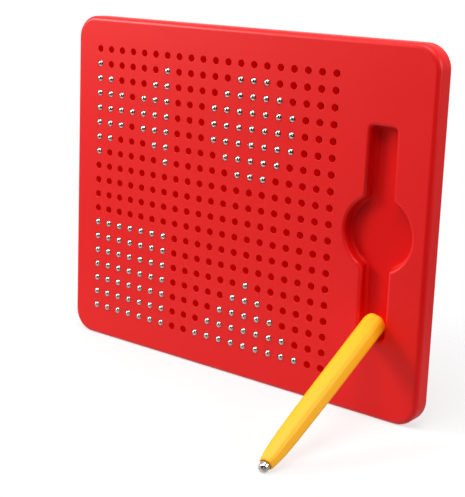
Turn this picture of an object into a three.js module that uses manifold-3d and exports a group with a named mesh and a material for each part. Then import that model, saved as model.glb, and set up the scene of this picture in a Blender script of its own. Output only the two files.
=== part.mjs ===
// Magnetic drawing board with its pen, in millimetres, +Z up.
// The board stands on its long bottom edge, X runs along it, and the face looks along -Y.
// The origin is the middle of the bottom edge, halfway through the board's thickness.

import * as THREE from 'three';
import { mergeVertices } from 'three/addons/utils/BufferGeometryUtils.js';
import Module from 'manifold-3d';

const wasm = await Module();
wasm.setup();

// Beads and their wells
const columns = 20;
const rows = 19;
const pitch = 10;
const beadDiameter = 5;
const beadProud = 1.2;
const beadPlay = 0.05;
const wellSides = 6;
const wellWeb = 1.3;
const gridPlate = 6.5;
const gridBorder = 7;

// Board
const sideMargin = 21;
const endMargin = 21.5;
const boardThickness = 13;
const boardCorner = 15;
const frontRounding = 3;
const backRounding = 1.5;
const skin = 2.5;

// Pen
const penLength = 125;
const penRadius = 7.05;
const penNeckRadius = 5.9;
const penMouthRadius = 4.2;
const penTaper = 25;
const penEndRounding = 3;
const penEdgeBreak = 0.6;
const penFlatShare = 0.91;
const penSides = 6;
const penBoreRadius = 3.2;
const penEndWall = 13;
const tipLength = 5;
const tipShank = 9;
const magnetLength = 20;

// Pen dock in the face
const dockDepth = 7;
const dockPan = 2;
const dockSidePlay = 2.3;
const dockEndPlay = 0.55;
const dockRim = 0.8;
const fingerWellRadius = 22.7;
const fingerWellMargin = 10.8;

// Back cover, backing sheet and screws
const coverThickness = 2;
const sheetThickness = 0.8;
const bossRadius = 3.25;
const screwInset = 10;
const dockScrewShare = 0.4;
const screwHeadRadius = 2.6;
const screwHeadHeight = 1.2;
const screwShankRadius = 1.1;
const screwLength = 8;
const screwHeadSink = 0.1;
const pilotWall = 1;

// Clearances, and the overrun of a cutter past the face that it cuts
const seatGap = 0.3;
const screwPlay = 0.3;
const penSeatGap = 0.3;
const floorGap = 0.1;
const overrun = 1;

// Facets of the round forms. An arc in an outline gets twice its number.
const cornerFacets = 3;
const roundingFacets = 3;
const fingerWellFacets = 6;
const bossFacets = 8;
const screwFacets = 8;
const penFacets = 24;
const boreFacets = 12;
const beadFacets = 8;
const beadRings = 5;
const capRings = 2;

// Passes that settle how far the pen leans
const leanPasses = 10;

// How the pen leans: its end stands to the right in the dock, its tip a little more, and it is
// turned about its own axis
const penEndShift = 1;
const penTipShift = 1.7;
const penTurn = THREE.MathUtils.degToRad(-10.5);

// Sizes that follow from the ones above
const beadRadius = beadDiameter / 2;
const beadDepth = beadRadius - beadProud;
const gridWidth = (columns - 1) * pitch;
const gridHeight = (rows - 1) * pitch;
const dockZone = 2 * (fingerWellMargin + fingerWellRadius);
const boardWidth = sideMargin + gridWidth + dockZone;
const boardHeight = gridHeight + 2 * endMargin;
const faceZ = boardThickness / 2;
const backZ = -boardThickness / 2;
const coverZ = backZ + coverThickness;
const sheetZ = coverZ + seatGap;
const slotWidth = 2 * (penRadius + dockSidePlay);
const slotLength = penLength + 2 * dockEndPlay;
const dockX = boardWidth / 2 - fingerWellMargin - fingerWellRadius;
const dockY = boardHeight / 2;
const gridX = -boardWidth / 2 + sideMargin + gridWidth / 2;
const gridY = endMargin + gridHeight / 2;

// The wells widen towards the back and touch the raised bead's seat: wellDraft is the slope of
// the line from the well's back edge that is tangent to the bead with its play.
const flatShare = Math.cos(Math.PI / wellSides);
const wellBackFlat = flatShare * (pitch - wellWeb) / 2;
const wellReach = gridPlate - beadDepth;
const wellDraft = Math.tan(
  Math.atan2(wellBackFlat, wellReach)
  - Math.asin((beadRadius + beadPlay) / Math.hypot(wellBackFlat, wellReach)),
);

// Figures set with raised beads, as row: [first column, last column] spans
const hourglass = [
  [2, 1, 1], [2, 7, 7], [3, 1, 2], [3, 6, 7], [4, 1, 3], [4, 5, 7], [5, 1, 7],
  [6, 1, 3], [6, 5, 7], [7, 1, 2], [7, 6, 7], [8, 1, 1], [8, 7, 7],
];
const octagon = [
  [2, 13, 15], [3, 12, 16], [4, 11, 17], [5, 11, 17], [6, 11, 17], [7, 12, 16], [8, 13, 15],
];
const square = [
  [13, 1, 7], [14, 1, 7], [15, 1, 7], [16, 1, 7], [17, 1, 7], [18, 1, 7], [19, 1, 7],
];
const triangle = [[15, 14, 14], [16, 13, 15], [17, 12, 16], [18, 11, 17], [19, 10, 18]];

const redPlastic = { color: 0xd92a26, roughness: 0.42, metalness: 0 };
const yellowPlastic = { color: 0xffbe28, roughness: 0.38, metalness: 0 };
const darkSheet = { color: 0x2c2a2a, roughness: 0.8, metalness: 0 };
const steel = { color: 0xc9ccd0, roughness: 0.2, metalness: 1 };
const nickel = { color: 0xb9b6ae, roughness: 0.28, metalness: 1 };

// Turns a closed geometry into a solid that can be joined and cut
function solid(geometry) {
  const bare = geometry.clone();
  bare.deleteAttribute('normal');
  bare.deleteAttribute('uv');
  const merged = mergeVertices(bare);
  const index = merged.index.array;
  const triangles = [];
  for (let i = 0; i < index.length; i += 3) {
    const [a, b, c] = [index[i], index[i + 1], index[i + 2]];
    if (a !== b && b !== c && c !== a) triangles.push(a, b, c);
  }
  return new wasm.Manifold(new wasm.Mesh({
    numProp: 3,
    vertProperties: Float32Array.from(merged.attributes.position.array),
    triVerts: Uint32Array.from(triangles),
  }));
}

// Turns a solid back into a geometry
function geometryOf(body) {
  const { vertProperties, triVerts } = body.getMesh();
  const geometry = new THREE.BufferGeometry();
  geometry.setAttribute('position', new THREE.BufferAttribute(vertProperties, 3));
  geometry.setIndex(new THREE.BufferAttribute(triVerts, 1));
  geometry.computeVertexNormals();
  return geometry;
}

function joined(bodies) {
  return bodies.reduce((whole, body) => whole.add(body));
}

function addMesh(parent, name, geometry, look) {
  const mesh = new THREE.Mesh(geometry, new THREE.MeshStandardMaterial(look));
  mesh.name = name;
  parent.add(mesh);
  return mesh;
}

// Outlines in the plane of the board
function roundedRectangle(width, height, radius, x, y) {
  const [left, right] = [x - width / 2 + radius, x + width / 2 - radius];
  const [low, high] = [y - height / 2 + radius, y + height / 2 - radius];
  const quarter = Math.PI / 2;
  const shape = new THREE.Shape();
  shape.absarc(right, low, radius, -quarter, 0);
  shape.absarc(right, high, radius, 0, quarter);
  shape.absarc(left, high, radius, quarter, Math.PI);
  shape.absarc(left, low, radius, Math.PI, 3 * quarter);
  return shape;
}

function boardOutline(inset) {
  return roundedRectangle(
    boardWidth - 2 * inset, boardHeight - 2 * inset, boardCorner - inset, 0, boardHeight / 2,
  );
}

// The dock is a slot for the pen with a round finger well across its middle
function dockOutline(grow) {
  const radius = fingerWellRadius + grow;
  const half = slotWidth / 2 + grow;
  const end = slotLength / 2 + grow;
  const open = Math.asin(half / radius);
  const quarter = Math.PI / 2;
  const shape = new THREE.Shape();
  shape.moveTo(dockX - half, dockY - end);
  shape.lineTo(dockX + half, dockY - end);
  shape.absarc(dockX, dockY, radius, open - quarter, quarter - open);
  shape.lineTo(dockX + half, dockY + end);
  shape.lineTo(dockX - half, dockY + end);
  shape.absarc(dockX, dockY, radius, open + quarter, 3 * quarter - open);
  return shape;
}

// A plate of the given outline between two depths along the board's normal
function plate(shape, low, high, facets = cornerFacets) {
  const geometry = new THREE.ExtrudeGeometry(shape, {
    depth: high - low, bevelEnabled: false, curveSegments: facets,
  });
  return geometry.translate(0, 0, low);
}

// A plate whose edges are rounded at both ends by the given radius
function roundedPlate(shape, low, high, radius) {
  const geometry = new THREE.ExtrudeGeometry(shape, {
    depth: high - low - 2 * radius,
    bevelThickness: radius,
    bevelSize: radius,
    bevelOffset: -radius,
    bevelSegments: roundingFacets,
    curveSegments: cornerFacets,
  });
  return geometry.translate(0, 0, low + radius);
}

// A cylinder or cone along the board's normal between two depths
function post(x, y, low, high, lowRadius, highRadius, facets) {
  const geometry = new THREE.CylinderGeometry(highRadius, lowRadius, high - low, facets);
  return geometry.rotateX(Math.PI / 2).translate(x, y, (low + high) / 2);
}

function columnX(column) {
  return gridX - gridWidth / 2 + (column - 1) * pitch;
}

function rowY(row) {
  return gridY + gridHeight / 2 - (row - 1) * pitch;
}

// Every row and column that a figure fills
function spots(figure) {
  return figure.flatMap(([row, first, last]) => (
    Array.from({ length: last - first + 1 }, (_, i) => [row, first + i])
  ));
}

function wellRadiusAt(depth) {
  return (wellBackFlat - wellDraft * (gridPlate - depth)) / flatShare;
}

function well(row, column) {
  return solid(post(
    columnX(column), rowY(row), faceZ - gridPlate - overrun, faceZ + overrun,
    wellRadiusAt(gridPlate + overrun), wellRadiusAt(-overrun), wellSides,
  ));
}

// A bead that stays up in this model: the cap that stands out of the face
function cap(row, column) {
  const widest = Math.acos(beadDepth / beadRadius);
  const profile = [new THREE.Vector2(0, -overrun)];
  profile.push(new THREE.Vector2(beadRadius * Math.sin(widest), -overrun));
  for (let ring = 0; ring < capRings; ring += 1) {
    const angle = widest * (1 - ring / capRings);
    profile.push(new THREE.Vector2(
      beadRadius * Math.sin(angle), beadRadius * Math.cos(angle) - beadDepth,
    ));
  }
  profile.push(new THREE.Vector2(0, beadProud));
  const geometry = new THREE.LatheGeometry(profile, wellSides);
  return solid(geometry.rotateX(Math.PI / 2).translate(columnX(column), rowY(row), faceZ));
}

// Screws along the top and the bottom, and two between the bead grid and the dock
function screwSpots() {
  const right = boardWidth / 2 - screwInset;
  const top = boardHeight - screwInset;
  const gridEdge = gridX + gridWidth / 2 + gridBorder;
  const dockEdge = dockX - slotWidth / 2 - dockPan;
  const between = (gridEdge + dockEdge) / 2;
  const rise = slotLength * dockScrewShare;
  return [
    [-right, screwInset], [0, screwInset], [right, screwInset],
    [-right, top], [0, top], [right, top],
    [between, dockY - rise], [between, dockY + rise],
  ];
}

// The red moulding: face, side walls, drilled plate, dock pan and screw bosses
function frontPanel() {
  const frontShape = roundedPlate(
    boardOutline(0), backZ - frontRounding - overrun, faceZ, frontRounding,
  );
  const backShape = roundedPlate(
    boardOutline(0), backZ, faceZ + backRounding + overrun, backRounding,
  );
  const cavity = plate(boardOutline(skin), backZ - overrun, faceZ - skin);
  const gridBlock = roundedRectangle(
    gridWidth + 2 * gridBorder, gridHeight + 2 * gridBorder, gridBorder, gridX, gridY,
  );
  const skinMiddle = faceZ - skin / 2;
  const bossLow = coverZ + seatGap;
  const screwTip = backZ + screwHeadSink + screwLength;
  const dockFloor = faceZ - dockDepth;
  const bosses = screwSpots().map(([x, y]) => (
    solid(post(x, y, bossLow, skinMiddle, bossRadius, bossRadius, bossFacets))
  ));
  const pilotRadius = screwShankRadius + screwPlay;
  const pilots = screwSpots().map(([x, y]) => (
    solid(post(x, y, bossLow - overrun, screwTip + pilotWall, pilotRadius, pilotRadius, wellSides))
  ));
  const dock = solid(plate(dockOutline(0), dockFloor, faceZ + overrun, fingerWellFacets));
  const rim = new THREE.ExtrudeGeometry(dockOutline(0), {
    depth: overrun, bevelThickness: dockRim, bevelSize: dockRim, bevelSegments: 1,
    curveSegments: fingerWellFacets,
  });
  const raised = [hourglass, octagon, square].flatMap(spots);
  const isRaised = new Set(raised.map(String));
  const wells = [];
  for (let row = 1; row <= rows; row += 1) {
    for (let column = 1; column <= columns; column += 1) {
      if (!isRaised.has(String([row, column]))) wells.push(well(row, column));
    }
  }
  return solid(frontShape)
    .intersect(solid(backShape))
    .subtract(solid(cavity))
    .add(solid(plate(gridBlock, faceZ - gridPlate, skinMiddle)))
    .add(solid(plate(dockOutline(dockPan), dockFloor - dockPan, skinMiddle, fingerWellFacets)))
    .add(joined(bosses))
    .subtract(joined(pilots))
    .subtract(dock)
    .subtract(solid(rim.translate(0, 0, faceZ)))
    .subtract(joined(wells))
    .add(joined(raised.map(([row, column]) => cap(row, column))));
}

// The flat cover that closes the back, with a counterbore for each screw head
function backCover() {
  const blank = solid(plate(boardOutline(skin + seatGap), backZ, coverZ));
  const holeRadius = screwShankRadius + screwPlay;
  const headRadius = screwHeadRadius + screwPlay;
  const headSeat = backZ + screwHeadSink + screwHeadHeight + screwPlay;
  const holes = screwSpots().map(([x, y]) => (
    solid(post(x, y, backZ - overrun, coverZ + overrun, holeRadius, holeRadius, screwFacets))
      .add(solid(post(x, y, backZ - overrun, headSeat, headRadius, headRadius, screwFacets)))
  ));
  return blank.subtract(joined(holes));
}

// Thin sheet on the cover that the lowered beads lie against
function backingSheet() {
  const shape = roundedRectangle(
    gridWidth + 2 * gridBorder, gridHeight + 2 * gridBorder, gridBorder, gridX, gridY,
  );
  return plate(shape, sheetZ, sheetZ + sheetThickness);
}

// Flat-head screw along its own Y axis, with the head's outer face at zero
function screw() {
  return new THREE.LatheGeometry([
    new THREE.Vector2(0, 0),
    new THREE.Vector2(screwHeadRadius, 0),
    new THREE.Vector2(screwHeadRadius, screwHeadHeight),
    new THREE.Vector2(screwShankRadius, screwHeadHeight),
    new THREE.Vector2(screwShankRadius, screwLength - screwShankRadius),
    new THREE.Vector2(0, screwLength),
  ], screwFacets);
}

// Barrel along its own Y axis, from the tip's end at zero: six soft flats that taper to the tip
function penBarrel() {
  const shoulder = penLength - penEndRounding;
  const stations = [
    [penMouthRadius - penEdgeBreak, tipLength],
    [penMouthRadius, tipLength + penEdgeBreak],
    [penNeckRadius, tipLength + penTaper],
    [penRadius, shoulder],
  ];
  for (let step = 1; step <= roundingFacets; step += 1) {
    const angle = (step / roundingFacets) * Math.PI / 2;
    stations.push([
      penRadius - penEndRounding * (1 - Math.cos(angle)),
      shoulder + penEndRounding * Math.sin(angle),
    ]);
  }
  const revolve = (widen, facets) => new THREE.LatheGeometry([
    new THREE.Vector2(0, tipLength),
    ...stations.map(([radius, y]) => new THREE.Vector2(radius * widen, y)),
    new THREE.Vector2(0, penLength),
  ], facets);
  const round = solid(revolve(1, penFacets));
  const flats = solid(revolve(penFlatShare / Math.cos(Math.PI / penSides), penSides));
  const boreLength = penLength - penEndWall;
  const bore = new THREE.CylinderGeometry(penBoreRadius, penBoreRadius, boreLength, boreFacets);
  return round.intersect(flats).subtract(solid(bore.translate(0, boreLength / 2, 0)));
}

// Steel nose of the pen: a dome on a shank that sits in the barrel's bore
function penTip() {
  const radius = penBoreRadius - seatGap;
  const dome = Array.from({ length: roundingFacets + 1 }, (_, step) => {
    const angle = (step / roundingFacets) * Math.PI / 2;
    return new THREE.Vector2(radius * Math.sin(angle), radius * (1 - Math.cos(angle)));
  });
  const back = tipLength + tipShank;
  return new THREE.LatheGeometry(
    [...dome, new THREE.Vector2(radius, back), new THREE.Vector2(0, back)], boreFacets,
  );
}

// Bar magnet in the bore behind the tip
function penMagnet() {
  const radius = penBoreRadius - seatGap;
  const geometry = new THREE.CylinderGeometry(radius, radius, magnetLength, boreFacets);
  return geometry.translate(0, tipLength + tipShank + seatGap + magnetLength / 2, 0);
}

const board = new THREE.Group();
board.name = 'magnetic_drawing_board';
board.rotation.x = Math.PI / 2;

addMesh(board, 'front_panel', geometryOf(frontPanel()), redPlastic);
addMesh(board, 'back_cover', geometryOf(backCover()), redPlastic);
addMesh(board, 'bead_backing_sheet', backingSheet(), darkSheet);

screwSpots().forEach(([x, y], i) => {
  const mesh = addMesh(board, `cover_screw_${i + 1}`, screw(), nickel);
  mesh.rotation.x = Math.PI / 2;
  mesh.position.set(x, y, backZ + screwHeadSink);
});

spots(triangle).forEach(([row, column]) => {
  const ball = new THREE.SphereGeometry(beadRadius, beadFacets, beadRings).rotateX(Math.PI / 2);
  const mesh = addMesh(board, `bead_r${row}_c${column}`, ball, steel);
  mesh.position.set(columnX(column), rowY(row), faceZ - beadDepth);
});

// The pen leans with its tip on the floor and its end in the lower half of the dock. Its
// underside clears the slot's lower edge, and its end clears the dock's floor, by the seat gap.
function penPlace() {
  const nose = penBoreRadius - seatGap;
  const noseY = nose + floorGap;
  const length = penLength - nose;
  const slotLow = dockY - slotLength / 2;
  let lean = 0;
  let endY = 0;
  let endDepth = 0;
  for (let pass = 0; pass < leanPasses; pass += 1) {
    const endRim = penRadius - penEndRounding;
    endDepth = dockDepth - penSeatGap - endRim * Math.sin(lean)
      - penEndRounding * (1 - Math.cos(lean));
    endY = slotLow + penSeatGap + penRadius / Math.cos(lean) + endDepth * Math.tan(lean);
    lean = Math.asin((endY - noseY) / length);
  }
  return { nose, noseY, length, lean, endY, endDepth };
}

const place = penPlace();
const penEnd = new THREE.Vector3(dockX + penEndShift, place.endY, faceZ - place.endDepth);
const penNose = new THREE.Vector3(
  dockX + penTipShift, place.noseY, faceZ - place.endDepth + place.length * Math.cos(place.lean),
);
const penAxis = penEnd.clone().sub(penNose).normalize();
const pen = new THREE.Group();
pen.quaternion.setFromUnitVectors(new THREE.Vector3(0, 1, 0), penAxis);
pen.position.copy(penNose).addScaledVector(penAxis, -place.nose);
board.add(pen);

const penParts = new THREE.Group();
penParts.rotation.y = penTurn;
pen.add(penParts);
addMesh(penParts, 'pen_barrel', geometryOf(penBarrel()), yellowPlastic);
addMesh(penParts, 'pen_tip', penTip(), steel);
addMesh(penParts, 'pen_magnet', penMagnet(), nickel);

export default board;
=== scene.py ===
"""Magnetic drawing board: the finished looks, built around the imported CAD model."""

import math

import bmesh
import bpy
from mathutils import Matrix, Vector


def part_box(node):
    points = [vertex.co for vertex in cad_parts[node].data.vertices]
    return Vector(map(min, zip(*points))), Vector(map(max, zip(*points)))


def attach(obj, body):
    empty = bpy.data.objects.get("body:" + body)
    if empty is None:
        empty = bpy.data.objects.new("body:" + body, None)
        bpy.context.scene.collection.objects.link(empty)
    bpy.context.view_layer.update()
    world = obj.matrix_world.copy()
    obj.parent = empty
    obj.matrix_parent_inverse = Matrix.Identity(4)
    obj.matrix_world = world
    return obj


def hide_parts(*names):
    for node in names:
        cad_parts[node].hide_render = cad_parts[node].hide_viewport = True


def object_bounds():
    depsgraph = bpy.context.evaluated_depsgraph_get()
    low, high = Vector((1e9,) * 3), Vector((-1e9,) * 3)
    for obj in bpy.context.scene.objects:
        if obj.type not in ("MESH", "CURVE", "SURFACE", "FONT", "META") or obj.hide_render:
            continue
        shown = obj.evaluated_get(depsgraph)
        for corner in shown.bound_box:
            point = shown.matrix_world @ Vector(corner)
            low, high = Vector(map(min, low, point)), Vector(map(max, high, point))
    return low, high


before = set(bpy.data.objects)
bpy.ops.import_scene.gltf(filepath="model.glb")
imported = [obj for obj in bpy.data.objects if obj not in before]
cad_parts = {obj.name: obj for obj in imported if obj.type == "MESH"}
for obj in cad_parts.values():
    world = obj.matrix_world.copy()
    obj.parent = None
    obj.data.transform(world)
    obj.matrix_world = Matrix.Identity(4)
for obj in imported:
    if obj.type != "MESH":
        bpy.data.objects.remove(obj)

bl_info = {
    "name": "Magnetic drawing board",
    "version": (1, 0, 0),
    "blender": (4, 5, 0),
    "location": "3D View > Sidebar > Drawing board",
    "description": "Builds a drawing board with steel beads, and its magnetic pen",
    "category": "Object",
}

CAD_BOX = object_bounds()
MM = 0.001
TOUCH = 1e-6
UP = Vector((0, 0, 1))

# The board is modelled lying down, face up: X to the right, Y up the board, Z out of its face.
# This turn stands it up.
STAND = Matrix.Rotation(math.pi / 2, 4, "X")

# Figures set with raised beads, as row, first column and last column
HOURGLASS = [
    (2, 1, 1), (2, 7, 7), (3, 1, 2), (3, 6, 7), (4, 1, 3), (4, 5, 7), (5, 1, 7),
    (6, 1, 3), (6, 5, 7), (7, 1, 2), (7, 6, 7), (8, 1, 1), (8, 7, 7),
]
OCTAGON = [
    (2, 13, 15), (3, 12, 16), (4, 11, 17), (5, 11, 17), (6, 11, 17), (7, 12, 16), (8, 13, 15),
]
SQUARE = [(row, 1, 7) for row in range(13, 20)]
TRIANGLE = [(15, 14, 14), (16, 13, 15), (17, 12, 16), (18, 11, 17), (19, 10, 18)]

# How finely round shapes are divided
HOLE_SIDES = 16
BALL_SIDES = 12
BALL_RINGS = 7
ROUNDING_STEPS = 6
CORNER_STEPS = 12
WELL_STEPS = 72
PEN_EDGE_STEPS = 6
TURNED_STEPS = 40
FLOOR_STEPS = 96

# A face is shaded flat where the largest part of its normal reaches this
FLAT_SHARE = 0.9985
FINE_FLAT_SHARE = 0.99999
ALL_SMOOTH = 2

SCREWS = 8
# Corners of the cross recess in a screw's head
CROSS_CORNERS = 12

# The pen's barrel is a hexagon, filled out towards a circle by its roundness from 0 to 1
PEN_FLATS = 6
END_ROUNDNESS = 0.5
# Its mouth: shares of the mouth's rounding inwards and along, and roundness
MOUTH_STEPS = [(1, 0, 0.5), (0.3, 0.3, 0.4), (0, 1, 0.3)]
# Its taper: millimetres behind the mouth, radius in millimetres, and roundness
BARREL_TAPER = [
    (4, 4.8, 0.2), (8, 5.3, 0.15), (12, 5.65, 0.1), (20, 6.05, 0), (30, 6.3, 0), (50, 6.6, 0),
]

# Materials of the front moulding, in the order of its faces' material index
MOULDING_FINISHES = ("red_moulded", "red_bore_painted_light", "red_dock_painted_shade")
BORE_PAINTED_INDEX = 1
DOCK_SHADE_INDEX = 2
RED_GRAIN = 0.28 * MM
YELLOW_GRAIN = 0.22 * MM
# Painted light: colours given off by the hole walls and the pen's barrel, which brighten
# them in shade, in place of light that comes through thin plastic
BORE_PAINTED_GLOW = (0.38, 0, 0)
BARREL_PAINTED_GLOW = (0.12, 0.03, 0)

# Studio lights: name, place from the object's middle and diameter in metres, power in watts
LIGHTS = [
    ("key", (-0.69, -0.47, 0.41), 0.32, 5.6),
    ("top", (0.15, -0.36, 1.02), 0.9, 9.6),
    ("right", (1.08, 0.2, 0.46), 0.6, 5.7),
]
FLOOR_RADIUS = 0.7
FLOOR_GREYS = ((0.8, 0.8, 0.8, 1), (0.83, 0.83, 0.83, 1))
# How much the floor covers, by the distance from its middle
FLOOR_FADE = {"From Min": 0.12, "From Max": 0.36, "To Min": 0.35, "To Max": 0.0}

BLACK = (0, 0, 0, 1)
WHITE = (1, 1, 1, 1)
WALL_GREY = (0.76, 0.76, 0.76)
CORNER_GREY = (0.05, 0.055, 0.052)
LAMP_WHITE = (4.2, 4.2, 4.2)
# Surroundings by the cosine of their angle to the camera's direction: walls, the dark corner
# round the camera, and a small lamp where it stands
WALL_STOPS = [
    (0.36, WALL_GREY), (0.52, CORNER_GREY), (0.983, CORNER_GREY), (0.989, LAMP_WHITE),
]
# How bright they are by height, from straight down at 0 to straight up at 1
HEIGHT_STOPS = [(0.12, (1.1, 1.1, 1.1)), (0.25, (0.45, 0.45, 0.45)), (0.65, (1, 1, 1))]
# How bright they are from the left, at -1, to the right, at 1
SIDE_FADE = {"From Min": -0.3, "From Max": 0.5, "To Min": 1.0, "To Max": 0.42}

# Of the camera, in millimetres
SENSOR_WIDTH = 36


def length(name, description, millimetres):
    """A length property with its default in millimetres."""
    return bpy.props.FloatProperty(
        name=name, description=description, default=millimetres * MM, precision=5,
        subtype="DISTANCE", unit="LENGTH",
    )


def colour(name, description, default):
    """A colour property."""
    return bpy.props.FloatVectorProperty(
        name=name, description=description, default=default, size=3, min=0, max=1,
        subtype="COLOR",
    )


class BoardSizes(bpy.types.PropertyGroup):
    """Sizes of the board"""

    columns: bpy.props.IntProperty(name="Columns", description="Holes in a row", default=20)
    rows: bpy.props.IntProperty(name="Rows", description="Holes in a column", default=19)
    pitch: length("Pitch", "Distance from hole to hole", 10)
    width: length("Width", "Length of the long edge", 278)
    height: length("Height", "Length of the short edge", 223)
    thickness: length("Thickness", "From face to back", 13)
    corner: length("Corner radius", "Radius of the four corners", 15)
    front_rounding: length("Front rounding", "Radius between face and side", 3)
    back_rounding: length("Back rounding", "Radius between side and back", 1.5)
    skin: length("Wall", "Wall of the moulding", 2.5)
    grid_x: length("Grid across", "Middle of the grid of holes", -23)
    grid_y: length("Grid up", "Middle of the grid of holes", 111.5)
    grid_plate: length("Grid plate", "Thickness of the plate with the holes", 6.5)
    grid_border: length("Grid border", "From the outer holes to the edge of the plate", 7)
    hole_radius: length("Hole radius", "Radius of a hole in the face", 2.3)
    hole_rim: length("Hole rim", "Rounding of a hole's rim", 0.16)
    seat_radius: length("Seat radius", "Radius of a hole where a raised bead is widest", 2.62)
    seat_depth: length("Seat depth", "Depth at which a raised bead is widest", 1.3)
    bore_radius: length("Bore radius", "Radius of a hole at the back of the plate", 2.8)
    bead_radius: length("Bead radius", "Radius of a steel bead", 2.5)
    bead_proud: length("Bead proud", "How far a raised bead stands out", 1.2)
    bead_travel: length("Bead travel", "How far a lowered bead lies behind a raised one", 6)


class DockSizes(bpy.types.PropertyGroup):
    """Sizes of the pen's dock"""

    x: length("Across", "Middle of the dock", 105.5)
    y: length("Up", "Middle of the dock", 111.5)
    depth: length("Depth", "Depth below the face", 7)
    slot_half: length("Slot half width", "Half the width of the slot", 8.6)
    slot_end: length("Slot end", "From the middle to the slot's end", 62.65)
    slot_corner: length("Slot corner", "Radius of the slot's corners", 2.4)
    well_radius: length("Finger well", "Radius of the round finger well", 22.3)
    well_neck: length("Neck radius", "Radius where the slot meets the finger well", 1.2)
    rim: length("Rim", "Rounding of the dock's rim", 2.2)
    floor_rim: length("Floor rim", "Rounding round the dock's floor", 2.2)
    pan: length("Pan", "Wall of the pan behind the dock", 2)


class CoverSizes(bpy.types.PropertyGroup):
    """Sizes of the back cover and its screws"""

    thickness: length("Thickness", "Thickness of the back cover", 2)
    gap: length("Gap", "Gap round the back cover", 0.3)
    edge: length("Edge", "Chamfer of the cover's edge", 0.3)
    boss_radius: length("Boss radius", "Radius of a screw boss", 3.25)
    head_radius: length("Head radius", "Radius of a screw head", 2.6)
    head_height: length("Head height", "Height of a screw head", 1.2)
    head_sink: length("Head sink", "How deep a head lies below the cover", 0.1)
    shank_radius: length("Shank radius", "Radius of a screw's shank", 1.1)
    screw_length: length("Screw length", "Length of a screw", 8)
    recess_reach: length("Recess reach", "From the middle to the end of a recess arm", 1.45)
    recess_width: length("Recess width", "Width of a recess arm", 0.5)
    recess_depth: length("Recess depth", "Depth of the cross recess", 0.8)


class PenSizes(bpy.types.PropertyGroup):
    """Sizes of the pen"""

    length: length("Length", "Length with the tip", 125)
    radius: length("Radius", "Radius at the end", 7.05)
    mouth_radius: length("Mouth radius", "Radius at the tip", 4.2)
    mouth_rounding: length("Mouth rounding", "Rounding at the mouth", 0.6)
    end_rounding: length("End rounding", "Rounding of the far end", 3.2)
    bore_radius: length("Bore radius", "Radius of the bore", 3.2)
    bore_wall: length("End wall", "Solid length behind the bore", 13)
    tip_radius: length("Tip radius", "Radius of the steel tip", 2.9)
    tip_length: length("Tip length", "How far the steel tip stands out", 5)
    tip_shank: length("Tip shank", "Length of the tip inside the bore", 9)
    magnet_gap: length("Magnet gap", "Gap between the tip's shank and the magnet", 0.3)
    edge_share: bpy.props.FloatProperty(
        name="Edge rounding", description="Share of a flat that each edge's rounding takes",
        default=0.26, min=0, max=0.5, subtype="FACTOR",
    )
    turn: bpy.props.FloatProperty(
        name="Turn", description="Turn of the pen about its own axis",
        default=math.radians(-10.5), subtype="ANGLE", unit="ROTATION",
    )


class Finishes(bpy.types.PropertyGroup):
    """Colours of the materials"""

    red: colour("Red plastic", "Moulding and back cover", (0.82, 0.002, 0.002))
    # Painted shade: a dark red for the hole walls, under their painted glow
    bore_painted_shade: colour("Red plastic, bores", "Walls of the holes, smooth", (0.15, 0.001, 0.001))
    # Painted shade: a darker, less glossy red for the inside of the dock
    dock: colour("Red plastic, dock", "Inside of the pen's dock, duller", (0.77, 0.002, 0.002))
    yellow: colour("Yellow plastic", "Barrel of the pen", (0.98, 0.48, 0.01))
    steel: colour("Polished steel", "Beads and tip", (0.64, 0.6, 0.55))
    plate: colour("Plated steel", "Screws and magnet", (0.58, 0.57, 0.54))
    rubber: colour("Magnet sheet", "Sheet behind the beads", (0.035, 0.033, 0.032))


class CameraPlace(bpy.types.PropertyGroup):
    """Where the camera stands"""

    centre: bpy.props.FloatVectorProperty(
        name="Place", description="Place of the camera", size=3, subtype="TRANSLATION",
        unit="LENGTH", default=(0.44028, -0.57869, 0.26369), precision=5,
    )
    forward: bpy.props.FloatVectorProperty(
        name="Forward", description="Direction of view", size=3, subtype="DIRECTION",
        default=(-0.5977, 0.7764, -0.2), precision=4,
    )
    right: bpy.props.FloatVectorProperty(
        name="Right", description="Direction of the picture's rows", size=3,
        subtype="DIRECTION", default=(0.787, 0.6157, 0.0384), precision=4,
    )
    focal_pixels: bpy.props.FloatProperty(
        name="Focal length", description="Focal length in pixels of the picture",
        default=1168.6,
    )
    picture_height: bpy.props.FloatProperty(
        name="Picture height", description="Height of the picture in pixels", default=497,
    )
    axis_row: bpy.props.FloatProperty(
        name="Axis row", description="Pixel row that the optical axis meets", default=198.5,
    )
    axis_offset: bpy.props.FloatProperty(
        name="Axis offset", description="Pixels from the middle column to the optical axis",
        default=0.5,
    )


class Wire:
    """A socket of a material, with operators that add Math nodes"""

    def __init__(self, material, socket):
        self.material = material
        self.socket = socket

    def math(self, operation, first, second):
        return self.material.add(
            "ShaderNodeMath", {"operation": operation}, {0: first, 1: second},
        )

    def __add__(self, other):
        return self.math("ADD", self, other)

    __radd__ = __add__

    def __mul__(self, other):
        return self.math("MULTIPLY", self, other)

    __rmul__ = __mul__


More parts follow.
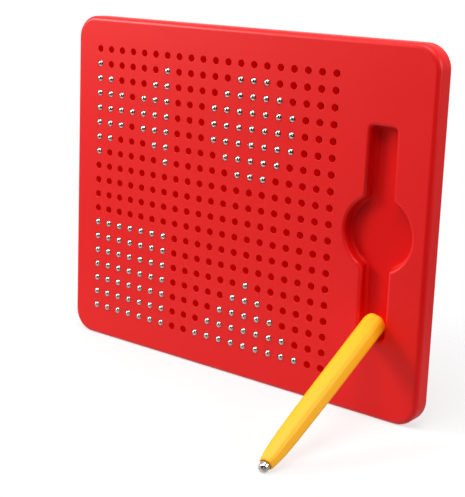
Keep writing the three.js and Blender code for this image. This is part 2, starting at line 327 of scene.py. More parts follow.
class Shading:
    """A node tree that is written as expressions"""

    def __init__(self, tree):
        self.tree = tree
        tree.nodes.clear()

    def add(self, kind, settings=None, inputs=None, output=0):
        """Adds a node with its settings, then the values or links of its sockets."""
        node = self.tree.nodes.new(kind)
        for name, value in (settings or {}).items():
            if name == "stops":
                ramp = node.color_ramp.elements
                while len(ramp) < len(value):
                    ramp.new(1)
                for stop, (position, tone) in zip(ramp, value):
                    stop.position, stop.color = position, (*tone, 1)
            else:
                setattr(node, name, value)
        for name, value in (inputs or {}).items():
            if isinstance(value, Wire):
                self.tree.links.new(value.socket, node.inputs[name])
            else:
                node.inputs[name].default_value = value
        return Wire(self, node.outputs[output]) if node.outputs else None

    def place(self):
        return self.add("ShaderNodeTexCoord", output="Object")

    def noise(self, size, detail=2.0, roughness=0.5):
        """Noise from 0 to 1 with features of about the given size."""
        return self.add("ShaderNodeTexNoise", None, {
            "Vector": self.place(), "Scale": 1 / size, "Detail": detail, "Roughness": roughness,
        })

    def mix(self, share, first, second):
        """A colour between two."""
        return self.add(
            "ShaderNodeMix", {"data_type": "RGBA"},
            {0: share, 6: first, 7: second}, output=2,
        )

    def bump(self, height, distance, strength=1.0, under=None):
        inputs = {"Height": height, "Distance": distance, "Strength": strength}
        if under:
            inputs["Normal"] = under
        return self.add("ShaderNodeBump", None, inputs)

    def surface(self, inputs):
        shader = self.add("ShaderNodeBsdfPrincipled", None, inputs)
        self.add("ShaderNodeOutputMaterial", None, {"Surface": shader})


def shade(tone, factor):
    """A colour made lighter or darker, as a socket's value."""
    return (*(min(1.0, part * factor) for part in tone), 1.0)


def new_finish(name):
    material = bpy.data.materials.new(name)
    material.use_nodes = True
    return material, Shading(material.node_tree)


def moulded_plastic(name, tone, roughness, grain, ior=1.42, painted_glow=(0, 0, 0)):
    """Injection-moulded plastic with the fine grain of an eroded mould. The painted glow is
    painted light, a colour given off that brightens the plastic in shade."""
    material, shading = new_finish(name)
    cloud = shading.noise(size=60 * MM, detail=3)
    patches = shading.noise(size=9 * MM, detail=4, roughness=0.6)
    fine = shading.noise(size=grain, detail=2, roughness=0.6)
    flow = shading.noise(size=25 * MM, detail=1)
    waves = shading.bump(flow, distance=0.03 * MM, strength=0.6)
    shading.surface({
        "Base Color": shading.mix(cloud, shade(tone, 0.96), shade(tone, 1.04)),
        "Roughness": roughness - 0.05 + patches * 0.06 + fine * 0.04,
        "IOR": ior,
        # Painted light: the glow, given off whatever the lamps do
        "Emission Color": shade(painted_glow, 1),
        "Emission Strength": 1.0,
        "Normal": shading.bump(fine, distance=0.012 * MM, strength=0.7, under=waves),
    })
    return material


def polished_steel(name, tone):
    """Polished steel with hair scratches and a trace of handling."""
    material, shading = new_finish(name)
    smudge = shading.noise(size=2.2 * MM, detail=3)
    along = shading.add(
        "ShaderNodeMapping", None, {"Vector": shading.place(), "Scale": (1.0, 1.0, 14.0)},
    )
    hair = shading.add(
        "ShaderNodeTexNoise", None, {"Vector": along, "Scale": 1 / (1.5 * MM), "Detail": 3.0},
    )
    shading.surface({
        "Base Color": shading.mix(smudge, shade(tone, 0.95), shade(tone, 1.03)),
        "Metallic": 1.0,
        "Roughness": 0.09 + smudge * 0.07,
        "Normal": shading.bump(hair, distance=0.002 * MM, strength=0.4),
    })
    return material


def plated_steel(name, tone):
    """Zinc-plated steel, slightly cloudy."""
    material, shading = new_finish(name)
    cloud = shading.noise(size=1.2 * MM, detail=4, roughness=0.6)
    shading.surface({
        "Base Color": shading.mix(cloud, shade(tone, 0.85), shade(tone, 1.12)),
        "Metallic": 1.0,
        "Roughness": 0.24 + cloud * 0.18,
        "Normal": shading.bump(cloud, distance=0.01 * MM, strength=0.5),
    })
    return material


def magnet_rubber(name, tone):
    """Rolled magnet sheet with a matt skin and faint roller lines."""
    material, shading = new_finish(name)
    dust = shading.noise(size=0.5 * MM, detail=4, roughness=0.7)
    lines = shading.add(
        "ShaderNodeTexWave", {"wave_type": "BANDS", "bands_direction": "Z"},
        {"Vector": shading.place(), "Scale": 1 / (6 * MM), "Distortion": 1.0},
        output=1,
    )
    skin = shading.bump(dust, distance=0.02 * MM)
    shading.surface({
        "Base Color": shading.mix(dust, shade(tone, 0.8), shade(tone, 1.5)),
        "Roughness": 0.7 + dust * 0.2,
        "Normal": shading.bump(lines, distance=0.01 * MM, strength=0.5, under=skin),
    })
    return material


def finish_named(name):
    """The material of that name, made when it is first asked for."""
    found = bpy.data.materials.get(name)
    if found:
        return found
    tones = bpy.context.scene.board_finishes
    makers = {
        "red_moulded": lambda: moulded_plastic(
            name, tones.red, roughness=0.42, grain=RED_GRAIN),
        # Hole walls: painted shade in the dark tone, painted light in the glow
        "red_bore_painted_light": lambda: moulded_plastic(
            name, tones.bore_painted_shade, roughness=0.4, grain=RED_GRAIN, painted_glow=BORE_PAINTED_GLOW),
        # Inside of the dock: painted shade, darker and with a weaker sheen
        "red_dock_painted_shade": lambda: moulded_plastic(
            name, tones.dock, roughness=0.5, grain=RED_GRAIN, ior=1.26),
        # Barrel: painted light in its glow, which warms its shaded side
        "yellow_moulded_painted_glow": lambda: moulded_plastic(
            name, tones.yellow, roughness=0.44, grain=YELLOW_GRAIN, painted_glow=BARREL_PAINTED_GLOW),
        "steel_polished": lambda: polished_steel(name, tones.steel),
        "steel_plated": lambda: plated_steel(name, tones.plate),
        "magnet_rubber": lambda: magnet_rubber(name, tones.rubber),
    }
    return makers[name]()


FINISH_OF_SLOT = {
    "red_plastic": "red_moulded",
    "yellow_plastic": "yellow_moulded_painted_glow",
    "bead_steel": "steel_polished",
    "screw_steel": "steel_plated",
    "magnet_sheet": "magnet_rubber",
}


def dress_node(node, slot):
    """Gives a CAD node that stays its finish."""
    material = finish_named(FINISH_OF_SLOT[slot])
    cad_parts[node].data.materials.clear()
    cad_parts[node].data.materials.append(material)


def keep_piece(bm, name, body, slot, replaced=(), matrix=STAND, flat_share=FLAT_SHARE):
    """Turns a bmesh into a piece that rides on a body, with flat faces shaded flat."""
    bmesh.ops.recalc_face_normals(bm, faces=bm.faces[:])
    for face in bm.faces:
        face.smooth = max(abs(part) for part in face.normal) < flat_share
    bm.transform(matrix)
    mesh = bpy.data.meshes.new(name)
    bm.to_mesh(mesh)
    bm.free()
    mesh.materials.append(finish_named(FINISH_OF_SLOT[slot]))
    piece = bpy.data.objects.new(name, mesh)
    bpy.context.scene.collection.objects.link(piece)
    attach(piece, body)
    if replaced:
        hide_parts(*replaced)
    return piece


def column_x(sizes, column):
    return sizes.grid_x + (column - (sizes.columns + 1) / 2) * sizes.pitch


def row_y(sizes, row):
    return sizes.grid_y - (row - (sizes.rows + 1) / 2) * sizes.pitch


def spots(figure):
    """Every row and column that a figure fills."""
    return [(row, column) for row, first, last in figure for column in range(first, last + 1)]


def new_face(bm, before):
    """The face that a shape adds to what was there before, turned up."""
    face = next(iter(set(bm.faces) - before))
    face.normal_update()
    if face.normal.z < 0:
        face.normal_flip()
    return face


def rounded_rectangle(bm, width, height, radius, x, y, z, steps=CORNER_STEPS):
    """A flat face with four round corners."""
    before = set(bm.faces)
    place = Matrix.Translation((x, y, z)) @ Matrix.Diagonal((width, height, 1, 1))
    made = bmesh.ops.create_grid(bm, x_segments=1, y_segments=1, size=0.5, matrix=place)
    bmesh.ops.bevel(
        bm, geom=made["verts"], offset=radius, offset_type="OFFSET", segments=steps,
        profile=0.5, affect="VERTICES", material=-1,
    )
    return new_face(bm, before)


def raise_walls(bm, face, z, keep_cap=True):
    """Draws walls from a face's outline to another height."""
    edges = list(face.edges)
    if not keep_cap:
        bmesh.ops.delete(bm, geom=[face], context="FACES_ONLY")
    made = bmesh.ops.extrude_edge_only(bm, edges=edges)
    for vert in made["geom"]:
        if isinstance(vert, bmesh.types.BMVert):
            vert.co.z = z


def close_plane(bm, z):
    """Fills the plane between all the open outlines at one height."""
    edges = [
        edge for edge in bm.edges
        if edge.is_boundary and all(abs(vert.co.z - z) < TOUCH for vert in edge.verts)
    ]
    bmesh.ops.triangle_fill(bm, use_beauty=True, use_dissolve=False, edges=edges, normal=UP)


def rounding(radius, steps):
    """Steps inwards and down that follow a quarter circle, flat at the top."""
    places = [
        (radius * math.sin(turn), radius * (1 - math.cos(turn)))
        for turn in (math.pi / 2 * step / steps for step in range(steps + 1))
    ]
    return [(b[0] - a[0], b[1] - a[1]) for a, b in zip(places, places[1:])]


def sink(bm, face, steps):
    """Takes a face inwards and down in steps, which leaves a wall behind it."""
    for inward, down in steps:
        bmesh.ops.inset_individual(
            bm, faces=[face], thickness=inward, depth=-down, use_even_offset=True,
        )


def to_square(vert, half):
    """The point of a square cell's edge in the direction of a vertex."""
    share = half / max(abs(vert.co.x), abs(vert.co.y))
    return vert.co.x * share, vert.co.y * share


def add_holes(bm, sizes):
    """The grid of holes: one cell of the plate, copied along a row and then up the rows."""
    half = sizes.pitch / 2
    top = sizes.thickness / 2
    made = bmesh.ops.create_circle(bm, cap_ends=True, segments=HOLE_SIDES, radius=half)
    face = made["verts"][0].link_faces[0]
    for vert in made["verts"]:
        vert.co.x, vert.co.y = to_square(vert, half)
        vert.co.z = top
    flat = math.cos(math.pi / HOLE_SIDES)
    rings = [
        ((sizes.hole_radius + sizes.hole_rim) / flat, 0),
        (sizes.hole_radius / flat, sizes.hole_rim),
        (sizes.seat_radius / flat, sizes.seat_depth),
        (sizes.bore_radius / flat, sizes.grid_plate),
    ]
    for radius, depth in rings:
        made = bmesh.ops.inset_individual(bm, faces=[face], thickness=0, depth=0)
        for wall in made["faces"]:
            # Walls below the rim get the red with painted shade and painted glow
            wall.material_index = BORE_PAINTED_INDEX if depth > sizes.hole_rim else 0
        for vert in face.verts:
            outward = Vector((vert.co.x, vert.co.y)).normalized() * radius
            vert.co = (outward.x, outward.y, top - depth)
    bmesh.ops.inset_individual(bm, faces=[face], thickness=0, depth=0)
    for vert in face.verts:
        vert.co.x, vert.co.y = to_square(vert, half)
    bmesh.ops.delete(bm, geom=[face], context="FACES_ONLY")
    first = (column_x(sizes, 1), row_y(sizes, sizes.rows), 0)
    bmesh.ops.translate(bm, verts=bm.verts[:], vec=first)
    pitch = sizes.pitch
    for count, step in ((sizes.columns, (pitch, 0, 0)), (sizes.rows, (0, pitch, 0))):
        cell = bm.verts[:] + bm.edges[:] + bm.faces[:]
        for copy in range(1, count):
            made = bmesh.ops.duplicate(bm, geom=cell)
            verts = [part for part in made["geom"] if isinstance(part, bmesh.types.BMVert)]
            bmesh.ops.translate(bm, verts=verts, vec=Vector(step) * copy)
        bmesh.ops.remove_doubles(bm, verts=bm.verts[:], dist=TOUCH)


def dock_outline(bm, dock, grow, z):
    """A flat face of the dock's outline: a slot with a round finger well across it."""
    before = set(bm.faces)
    centre = Vector((dock.x, dock.y, z))
    made = bmesh.ops.create_circle(
        bm, cap_ends=True, segments=WELL_STEPS, radius=dock.well_radius + grow,
        matrix=Matrix.Translation(centre),
    )
    geom = made["verts"] + list({e for v in made["verts"] for e in v.link_edges})
    geom += made["verts"][0].link_faces[:]
    half = dock.slot_half + grow
    for side in (-1, 1):
        cut = bmesh.ops.bisect_plane(
            bm, geom=geom, dist=TOUCH,
            plane_co=(dock.x + side * half, 0, 0), plane_no=(1, 0, 0),
        )
        geom = cut["geom"]
    edges = {e for f in set(bm.faces) - before for e in f.edges if e.is_boundary}
    for side in (-1, 1):
        arc = [
            e for e in edges
            if all(abs(v.co.x - dock.x) < half + TOUCH for v in e.verts)
            and side * (e.verts[0].co.y - dock.y) > half
        ]
        grown = bmesh.ops.extrude_edge_only(bm, edges=arc)
        for vert in grown["geom"]:
            if isinstance(vert, bmesh.types.BMVert):
                vert.co.y = dock.y + side * (dock.slot_end + grow)
    bmesh.ops.dissolve_faces(bm, faces=list(set(bm.faces) - before), use_verts=True)
    face = next(iter(set(bm.faces) - before))
    straight = math.radians(0.5)
    bmesh.ops.dissolve_limit(
        bm, angle_limit=straight, verts=list(face.verts), edges=list(face.edges),
    )
    face = next(iter(set(bm.faces) - before))
    ends = [v for v in face.verts if abs(abs(v.co.y - dock.y) - dock.slot_end - grow) < TOUCH]
    necks = [
        v for v in face.verts
        if v not in ends and abs(abs(v.co.x - dock.x) - half) < TOUCH
    ]
    for verts, radius in ((ends, dock.slot_corner + grow), (necks, dock.well_neck)):
        bmesh.ops.bevel(
            bm, geom=verts, offset=radius, offset_type="OFFSET", segments=ROUNDING_STEPS,
            profile=0.5, affect="VERTICES", material=-1,
        )
    return new_face(bm, before)


def screw_spots():
    """Middle of each screw, from the CAD model."""
    places = []
    for number in range(1, SCREWS + 1):
        low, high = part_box(f"cover_screw_{number}")
        places.append(((low.x + high.x) / 2, (low.z + high.z) / 2))
    return places


class BOARD_OT_front_moulding(bpy.types.Operator):
    """Builds the red front moulding with its grid of holes and the pen's dock"""

    bl_idname = "drawing_board.front_moulding"
    bl_label = "Front moulding"

    def execute(self, context):
        sizes, dock = context.scene.board_sizes, context.scene.board_dock
        cover = context.scene.board_cover
        top, back = sizes.thickness / 2, -sizes.thickness / 2
        ceiling = top - sizes.skin
        plate_back = top - sizes.grid_plate
        bm = bmesh.new()
        add_holes(bm, sizes)

        # Dock: its rim, wall and floor, which from the rim down have painted shade: a darker,
        # less glossy red
        flange = 2 * dock.rim
        known = set(bm.faces)
        face = dock_outline(bm, dock, flange, top)
        steps = [(flange - dock.rim, 0)] + rounding(dock.rim, ROUNDING_STEPS)
        steps.append((0, dock.depth - dock.rim - dock.floor_rim))
        steps += rounding(dock.floor_rim, ROUNDING_STEPS)[::-1]
        sink(bm, face, steps)
        for part in set(bm.faces) - known:
            if part.calc_center_median().z < top - dock.rim / 2:
                part.material_index = DOCK_SHADE_INDEX

        # Outer wall, rounded to the face and to the back
        place = Matrix.Translation((0, sizes.height / 2, 0))
        place @= Matrix.Diagonal((sizes.width, sizes.height, sizes.thickness, 1))
        made = bmesh.ops.create_cube(bm, size=1, matrix=place)
        block = {f for v in made["verts"] for f in v.link_faces}
        known = set(bm.faces) - block
        upright = {e for f in block for e in f.edges
                   if abs(e.verts[0].co.z - e.verts[1].co.z) > TOUCH}
        bmesh.ops.bevel(
            bm, geom=list(upright), offset=sizes.corner, offset_type="OFFSET",
            segments=CORNER_STEPS, profile=0.5, affect="EDGES", material=-1,
        )
        for z, radius in ((top, sizes.front_rounding), (back, sizes.back_rounding)):
            end = next(f for f in set(bm.faces) - known
                       if abs(f.calc_center_median().z - z) < TOUCH)
            bmesh.ops.bevel(
                bm, geom=list(end.edges), offset=radius, offset_type="OFFSET",
                segments=ROUNDING_STEPS, profile=0.5, affect="EDGES", material=-1,
            )
        ends = {
            z: next(f for f in set(bm.faces) - known
                    if abs(f.calc_center_median().z - z) < TOUCH)
            for z in (top, back)
        }

        # Inside: back rim, inner wall, plate of the grid, pan of the dock and screw bosses
        sink(bm, ends[back], [(sizes.skin - sizes.back_rounding, 0), (0, ceiling - back)])
        bmesh.ops.delete(bm, geom=[ends[top], ends[back]], context="FACES_ONLY")
        width, height = (
            (count - 1) * sizes.pitch + 2 * sizes.grid_border
            for count in (sizes.columns, sizes.rows)
        )
        block = rounded_rectangle(
            bm, width, height, sizes.grid_border, sizes.grid_x, sizes.grid_y, plate_back,
        )
        raise_walls(bm, block, ceiling, keep_cap=False)
        pan = dock_outline(bm, dock, dock.pan, top - dock.depth - dock.pan)
        raise_walls(bm, pan, ceiling)
        for x, y in screw_spots():
            z = back + cover.thickness + cover.gap
            made = bmesh.ops.create_circle(
                bm, cap_ends=True, segments=HOLE_SIDES, radius=cover.boss_radius,
                matrix=Matrix.Translation((x, y, z)),
            )
            raise_walls(bm, made["verts"][0].link_faces[0], ceiling)
        for z in (top, ceiling, plate_back):
            close_plane(bm, z)
        bmesh.ops.remove_doubles(bm, verts=bm.verts[:], dist=TOUCH)
        moulding = keep_piece(bm, "front_moulding", "board", "red_plastic", ["front_panel"])
        for finish in MOULDING_FINISHES[1:]:
            moulding.data.materials.append(finish_named(finish))
        return {"FINISHED"}


class BOARD_OT_steel_beads(bpy.types.Operator):
    """Builds the raised and the lowered steel beads"""

    bl_idname = "drawing_board.steel_beads"
    bl_label = "Steel beads"

    def execute(self, context):
        sizes = context.scene.board_sizes
        raised_z = sizes.thickness / 2 + sizes.bead_proud - sizes.bead_radius

        def balls(group, z):
            """One ball, copied to every place of a group."""
            bm = bmesh.new()
            bmesh.ops.create_uvsphere(
                bm, u_segments=BALL_SIDES, v_segments=BALL_RINGS, radius=sizes.bead_radius,
            )
            first = bm.verts[:] + bm.edges[:] + bm.faces[:]
            for row, column in group[1:]:
                made = bmesh.ops.duplicate(bm, geom=first)
                verts = [part for part in made["geom"] if isinstance(part, bmesh.types.BMVert)]
                place = (column_x(sizes, column), row_y(sizes, row), z)
                bmesh.ops.translate(bm, verts=verts, vec=place)
            verts = [part for part in first if isinstance(part, bmesh.types.BMVert)]
            place = (column_x(sizes, group[0][1]), row_y(sizes, group[0][0]), z)
            bmesh.ops.translate(bm, verts=verts, vec=place)
            return bm

        fixed = spots(HOURGLASS + OCTAGON + SQUARE)
        moving = spots(TRIANGLE)
        every = [(row, column) for row in range(1, sizes.rows + 1)
                 for column in range(1, sizes.columns + 1)]
        lowered = [spot for spot in every if spot not in fixed and spot not in moving]
        for name, group, z in (
            ("raised_beads", fixed, raised_z),
            ("lowered_beads", lowered, raised_z - sizes.bead_travel),
        ):
            keep_piece(balls(group, z), name, "board", "bead_steel",
                       flat_share=ALL_SMOOTH)
        for row, column in moving:
            node = f"bead_r{row}_c{column}"
            keep_piece(balls([(row, column)], raised_z), f"ball_r{row}_c{column}", node,
                       "bead_steel", [node], flat_share=ALL_SMOOTH)
        return {"FINISHED"}


class BOARD_OT_back_cover(bpy.types.Operator):
    """Builds the flat back cover and its screws, and gives the magnet sheet behind the beads
    its finish
    """

    bl_idname = "drawing_board.back_cover"
    bl_label = "Back cover and screws"

    def execute(self, context):
        sizes, cover = context.scene.board_sizes, context.scene.board_cover
        back = -sizes.thickness / 2
        inset = sizes.skin + cover.gap
        head_hole = cover.head_radius + cover.gap
        bm = bmesh.new()
        plate = rounded_rectangle(
            bm, sizes.width - 2 * inset, sizes.height - 2 * inset, sizes.corner - inset,
            0, sizes.height / 2, back + cover.thickness,
        )
        raise_walls(bm, plate, back + cover.edge)
        rim = [e for e in bm.edges if e.is_boundary]
        made = bmesh.ops.extrude_edge_only(bm, edges=rim)
        lip = [part for part in made["geom"] if isinstance(part, bmesh.types.BMVert)]
        across = 1 - cover.edge / (sizes.width / 2 - inset)
        along = 1 - cover.edge / (sizes.height / 2 - inset)
        bmesh.ops.scale(
            bm, verts=lip, vec=(across, along, 1),
            space=Matrix.Translation((0, -sizes.height / 2, 0)),
        )
        for vert in lip:
            vert.co.z = back
        for x, y in screw_spots():
            made = bmesh.ops.create_circle(
                bm, cap_ends=True, segments=2 * HOLE_SIDES, radius=head_hole,
                matrix=Matrix.Translation((x, y, back + cover.head_sink + cover.head_height
                                           + cover.gap)),
            )
            raise_walls(bm, made["verts"][0].link_faces[0], back)
        close_plane(bm, back)
        keep_piece(bm, "back_cover_plate", "board", "red_plastic", ["back_cover"])

        for number, (x, y) in enumerate(screw_spots(), start=1):
            bm = bmesh.new()
            self.screw(bm, cover)
            place = STAND @ Matrix.Translation((x, y, back + cover.head_sink))
            keep_piece(bm, f"pan_head_screw_{number}", "board", "screw_steel",
                       [f"cover_screw_{number}"], matrix=place)
        dress_node("bead_backing_sheet", "magnet_sheet")
        return {"FINISHED"}

    def screw(self, bm, cover):
        """A screw with its head's outer face at zero and a cross recess in it."""
        half, reach = cover.recess_width / 2, cover.recess_reach
        head = bmesh.ops.create_circle(
            bm, cap_ends=True, segments=2 * HOLE_SIDES, radius=cover.head_radius - cover.edge,
        )
        face = head["verts"][0].link_faces[0]
        crown = list(face.edges)
        bmesh.ops.delete(bm, geom=[face], context="FACES_ONLY")
        rise = (
            (cover.head_radius, cover.edge), (cover.head_radius, cover.head_height),
            (cover.shank_radius, cover.head_height),
            (cover.shank_radius, cover.screw_length - cover.shank_radius),
        )
        ring = crown
        for radius, z in rise:
            made = bmesh.ops.extrude_edge_only(bm, edges=ring)
            verts = [part for part in made["geom"] if isinstance(part, bmesh.types.BMVert)]
            for vert in verts:
                outward = Vector((vert.co.x, vert.co.y)).normalized() * radius
                vert.co = (outward.x, outward.y, z)
            ring = [part for part in made["geom"] if isinstance(part, bmesh.types.BMEdge)
                    and all(v in verts for v in part.verts)]
        made = bmesh.ops.extrude_edge_only(bm, edges=ring)
        verts = [part for part in made["geom"] if isinstance(part, bmesh.types.BMVert)]
        bmesh.ops.pointmerge(bm, verts=verts, merge_co=(0, 0, cover.screw_length))

        # The cross is a square whose four sides are drawn out into arms
        place = Matrix.Diagonal((2 * half, 2 * half, 1, 1))
        cross = bmesh.ops.create_grid(bm, x_segments=1, y_segments=1, size=0.5, matrix=place)
        middle = cross["verts"][0].link_faces[0]
        arms = []
        for edge in list(middle.edges):
            outward = (edge.verts[0].co + edge.verts[1].co).normalized()
            made = bmesh.ops.extrude_edge_only(bm, edges=[edge])
            verts = [part for part in made["geom"] if isinstance(part, bmesh.types.BMVert)]
            bmesh.ops.translate(bm, verts=verts, vec=outward * (reach - half))
            arms += [part for part in made["geom"] if isinstance(part, bmesh.types.BMFace)]
        bmesh.ops.dissolve_faces(bm, faces=[middle, *arms])
        face = next(f for f in bm.faces if len(f.verts) == CROSS_CORNERS)
        bmesh.ops.inset_individual(
            bm, faces=[face], thickness=half / 2, depth=0, use_even_offset=True,
        )
        for vert in face.verts:
            vert.co.z = cover.recess_depth
        close_plane(bm, 0)


def pen_place(sizes):
    """Where the pen lies, from the magnet in it: a matrix with the pen along its Z axis, the
    tip's end at zero."""
    points = {tuple(round(part, 6) for part in v.co)
              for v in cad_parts["pen_magnet"].data.vertices}
    points = sorted((Vector(point) for point in points), key=lambda point: point.y)
    half = len(points) // 2
    front = sum(points[:half], Vector()) / half
    rear = sum(points[-half:], Vector()) / half
    axis = (rear - front).normalized()
    middle = (front + rear) / 2
    magnet_length = (rear - front).length
    start = sizes.tip_length + sizes.tip_shank + sizes.magnet_gap + magnet_length / 2
    nose = middle - axis * start
    stand = STAND.to_3x3()
    lean = Vector((0, 1, 0)).rotation_difference(stand.inverted() @ axis).to_matrix()
    roll = Matrix.Rotation(sizes.turn, 3, "Y")
    upright = Matrix.Rotation(-math.pi / 2, 3, "X")
    turn = stand @ lean @ roll @ upright
    return Matrix.Translation(nose) @ turn.to_4x4()


class BOARD_OT_pen(bpy.types.Operator):
    """Builds the pen: a barrel with six soft flats and its polished steel tip"""

    bl_idname = "drawing_board.pen"
    bl_label = "Pen"

    def execute(self, context):
        sizes = context.scene.board_pen
        place = pen_place(sizes)

        # Section of the barrel: a hexagon with round corners that reach the given radius
        bm = bmesh.new()
        made = bmesh.ops.create_circle(bm, cap_ends=True, segments=PEN_FLATS, radius=1)
        bmesh.ops.bevel(
            bm, geom=made["verts"], offset=sizes.edge_share, offset_type="OFFSET",
            segments=PEN_EDGE_STEPS, profile=0.5, affect="VERTICES", material=-1,
        )
        face = bm.faces[:][0]
        reach = max(vert.co.length for vert in face.verts)
        section = [vert.co.normalized() for vert in face.verts]
        shape = [vert.co.length / reach for vert in face.verts]

        def ring(radius, z, roundness=0.0):
            for vert, way, out in zip(face.verts, section, shape):
                vert.co = way * radius * (out + (1 - out) * roundness)
                vert.co.z = z

        # Radius, height and roundness, from the bottom of the bore round to the far end
        mouth = sizes.tip_length
        shoulder = sizes.length - sizes.end_rounding
        stations = [
            (sizes.bore_radius, sizes.length - sizes.bore_wall, 1),
            (sizes.bore_radius, mouth, 1),
        ]
        for inward, along, roundness in MOUTH_STEPS:
            stations.append((
                sizes.mouth_radius - sizes.mouth_rounding * inward,
                mouth + sizes.mouth_rounding * along, roundness,
            ))
        for along, radius, roundness in BARREL_TAPER:
            stations.append((radius * MM, mouth + along * MM, roundness))
        stations.append((sizes.radius, shoulder, 0))
        for step in range(1, ROUNDING_STEPS + 1):
            turn = math.pi / 2 * step / ROUNDING_STEPS
            stations.append((
                sizes.radius - sizes.end_rounding * (1 - math.cos(turn)),
                shoulder + sizes.end_rounding * math.sin(turn),
                END_ROUNDNESS * step / ROUNDING_STEPS,
            ))
        ring(*stations[0])
        for station in stations[1:]:
            bmesh.ops.inset_individual(bm, faces=[face], thickness=0, depth=0)
            ring(*station)
        bmesh.ops.contextual_create(bm, geom=[e for e in bm.edges if e.is_boundary])
        keep_piece(bm, "pen_barrel_body", "pen", "yellow_plastic", ["pen_barrel"], matrix=place,
                   flat_share=FINE_FLAT_SHARE)

        # Tip: a dome and its shank, turned about the pen's axis
        bm = bmesh.new()
        bmesh.ops.create_uvsphere(
            bm, u_segments=TURNED_STEPS, v_segments=TURNED_STEPS // 2, radius=sizes.tip_radius,
            matrix=Matrix.Translation((0, 0, sizes.tip_radius)),
        )
        cut = bmesh.ops.bisect_plane(
            bm, geom=bm.verts[:] + bm.edges[:] + bm.faces[:], dist=TOUCH,
            plane_co=(0, 0, sizes.tip_radius), plane_no=(0, 0, 1), clear_outer=True,
        )
        rim = [part for part in cut["geom_cut"] if isinstance(part, bmesh.types.BMEdge)]
        made = bmesh.ops.extrude_edge_only(bm, edges=rim)
        for part in made["geom"]:
            if isinstance(part, bmesh.types.BMVert):
                part.co.z = sizes.tip_length + sizes.tip_shank
        bmesh.ops.contextual_create(bm, geom=[e for e in bm.edges if e.is_boundary])
        keep_piece(bm, "pen_tip_dome", "pen", "bead_steel", ["pen_tip"], matrix=place,
                   flat_share=FINE_FLAT_SHARE)
        dress_node("pen_magnet", "screw_steel")
        return {"FINISHED"}


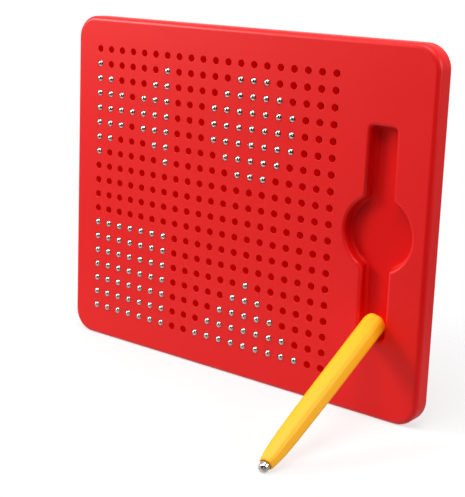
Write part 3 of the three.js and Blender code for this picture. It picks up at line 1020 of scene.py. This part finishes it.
class BOARD_OT_stage(bpy.types.Operator):
    """Sets up the pale floor, the studio lights and the camera"""

    bl_idname = "drawing_board.stage"
    bl_label = "Floor, lights and camera"

    def execute(self, context):
        scene = context.scene
        scene.view_settings.view_transform = "Standard"
        self.floor()
        self.world(scene)
        middle = (CAD_BOX[0] + CAD_BOX[1]) / 2
        for name, place, size, power in LIGHTS:
            self.light(name, middle + Vector(place), middle, size, power)
        self.camera(scene)
        return {"FINISHED"}

    def floor(self):
        """A pale floor that fades into the surroundings."""
        bm = bmesh.new()
        bmesh.ops.create_circle(bm, cap_ends=True, segments=FLOOR_STEPS, radius=FLOOR_RADIUS)
        mesh = bpy.data.meshes.new("studio_floor")
        bm.to_mesh(mesh)
        bm.free()
        material, shading = new_finish("studio_white")
        cloud = shading.noise(size=0.4, detail=2)
        reach = shading.add(
            "ShaderNodeVectorMath", {"operation": "LENGTH"}, {0: shading.place()},
            output="Value",
        )
        fade = shading.add(
            "ShaderNodeMapRange", {"interpolation_type": "SMOOTHSTEP"},
            {"Value": reach, **FLOOR_FADE},
        )
        shading.surface({
            "Base Color": shading.mix(cloud, *FLOOR_GREYS),
            "Roughness": 0.9,
            "Specular IOR Level": 0.1,
            "Alpha": fade,
        })
        mesh.materials.append(material)
        floor = bpy.data.objects.new("studio_floor", mesh)
        bpy.context.scene.collection.objects.link(floor)

    def world(self, scene):
        """Grey surroundings that the pieces reflect, darker on the right and a little below
        the horizon. The camera itself sees them white."""
        world = bpy.data.worlds.new("studio")
        world.use_nodes = True
        scene.world = world
        shading = Shading(world.node_tree)
        way = shading.add("ShaderNodeTexCoord", output="Generated")
        camera = -Vector(scene.board_camera.forward).normalized()
        toward = shading.add(
            "ShaderNodeVectorMath", {"operation": "DOT_PRODUCT"}, {0: way, 1: camera},
            output="Value",
        )
        grey = shading.add("ShaderNodeValToRGB", {"stops": WALL_STOPS}, {"Fac": toward})
        height = shading.add("ShaderNodeSeparateXYZ", None, {"Vector": way}, output="Z")
        above = shading.add(
            "ShaderNodeValToRGB", {"stops": HEIGHT_STOPS}, {"Fac": height * 0.5 + 0.5},
        )
        across = shading.add("ShaderNodeSeparateXYZ", None, {"Vector": way}, output="X")
        beside = shading.add("ShaderNodeMapRange", None, {"Value": across, **SIDE_FADE})
        seen = shading.add("ShaderNodeLightPath", output="Is Camera Ray")
        reflected = shading.mix(beside, BLACK, shading.mix(above, BLACK, grey))
        tone = shading.mix(seen, reflected, WHITE)
        background = shading.add("ShaderNodeBackground", None, {"Color": tone, "Strength": 1.0})
        shading.add("ShaderNodeOutputWorld", None, {"Surface": background})

    def light(self, name, place, target, size, power):
        """A round light that shines on a target."""
        data = bpy.data.lights.new(name, "AREA")
        data.shape, data.size, data.energy = "DISK", size, power
        lamp = bpy.data.objects.new(name, data)
        lamp.location = place
        lamp.rotation_euler = (target - place).to_track_quat("-Z", "Y").to_euler()
        bpy.context.scene.collection.objects.link(lamp)

    def camera(self, scene):
        """The camera, turned and shifted as its sizes say."""
        place = scene.board_camera
        forward = Vector(place.forward).normalized()
        right = Vector(place.right)
        right = (right - forward * right.dot(forward)).normalized()
        up = right.cross(forward)
        data = bpy.data.cameras.new("camera")
        data.sensor_fit, data.sensor_width = "AUTO", SENSOR_WIDTH
        data.lens = place.focal_pixels * data.sensor_width / place.picture_height
        data.shift_x = -place.axis_offset / place.picture_height
        data.shift_y = (place.axis_row - place.picture_height / 2) / place.picture_height
        camera = bpy.data.objects.new("camera", data)
        turn = Matrix((right, up, -forward)).transposed().to_4x4()
        camera.matrix_world = Matrix.Translation(place.centre) @ turn
        scene.collection.objects.link(camera)
        scene.camera = camera


class BOARD_PT_sidebar(bpy.types.Panel):
    """Lists what the drawing board is built from"""

    bl_idname = "BOARD_PT_sidebar"
    bl_label = "Drawing board"
    bl_space_type = "VIEW_3D"
    bl_region_type = "UI"
    bl_category = "Drawing board"

    def draw(self, context):
        for operator in OPERATORS:
            self.layout.operator(operator.bl_idname)
        for group in GROUPS:
            box = self.layout.box()
            sizes = getattr(context.scene, group)
            box.label(text=sizes.bl_rna.description)
            for name in sizes.__annotations__:
                box.prop(sizes, name)


GROUPS = {
    "board_sizes": BoardSizes,
    "board_dock": DockSizes,
    "board_cover": CoverSizes,
    "board_pen": PenSizes,
    "board_finishes": Finishes,
    "board_camera": CameraPlace,
}
OPERATORS = (
    BOARD_OT_front_moulding,
    BOARD_OT_steel_beads,
    BOARD_OT_back_cover,
    BOARD_OT_pen,
    BOARD_OT_stage,
)


def register():
    for part in (*GROUPS.values(), *OPERATORS, BOARD_PT_sidebar):
        bpy.utils.register_class(part)
    for name, group in GROUPS.items():
        setattr(bpy.types.Scene, name, bpy.props.PointerProperty(type=group))


def unregister():
    for name in GROUPS:
        delattr(bpy.types.Scene, name)
    for part in reversed((*GROUPS.values(), *OPERATORS, BOARD_PT_sidebar)):
        bpy.utils.unregister_class(part)


def main():
    register()
    bpy.ops.drawing_board.front_moulding()
    bpy.ops.drawing_board.steel_beads()
    bpy.ops.drawing_board.back_cover()
    bpy.ops.drawing_board.pen()
    bpy.ops.drawing_board.stage()


if __name__ == "__main__":
    main()
